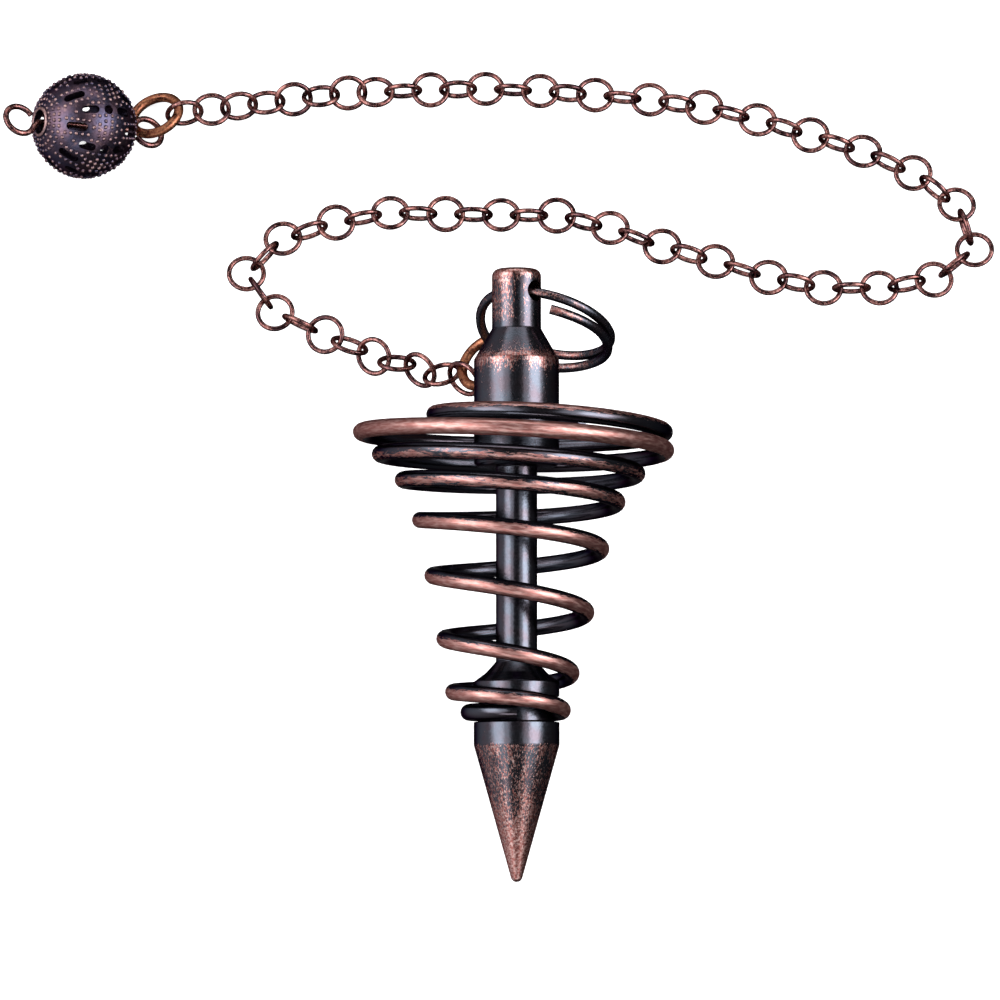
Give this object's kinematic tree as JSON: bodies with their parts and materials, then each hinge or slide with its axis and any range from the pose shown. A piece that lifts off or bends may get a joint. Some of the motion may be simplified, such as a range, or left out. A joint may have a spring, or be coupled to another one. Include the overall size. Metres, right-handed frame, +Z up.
{
  "type": "pendulum pendant",
  "caption": "Turned pendulum with a pointed cone and a wide conical spring, hung by a split ring from a chain of small round links that ends in a pierced bead.",
  "frame": {"origin": "centre of the base of the bounding box, where the pendant rests on a table", "axes": "+X to the right along the chain's runs, +Z up from the table; the pendulum's tip points to -Y and the ball lies at -X"},
  "size_m": [0.0774, 0.0679, 0.0227],
  "materials": {
    "dark_metal": "gunmetal plating with rubbed copper edges, glossy",
    "rubbed_copper": "antique copper plating rubbed bright on its outward side, glossy",
    "bright_copper": "copper plating, glossy",
    "chain_copper": "antique copper plating, satin",
    "ball_metal": "antique gunmetal plating with rubbed dots, satin"
  },
  "bodies": {
    "root": {"turned_body": "dark_metal", "spring_coil": "rubbed_copper", "split_ring": "dark_metal", "pendant_jump_ring": "bright_copper", "chain": "chain_copper", "ball_jump_ring": "bright_copper", "eye_pin": "chain_copper", "filigree_ball": "ball_metal"}
  },
  "joints": []
}
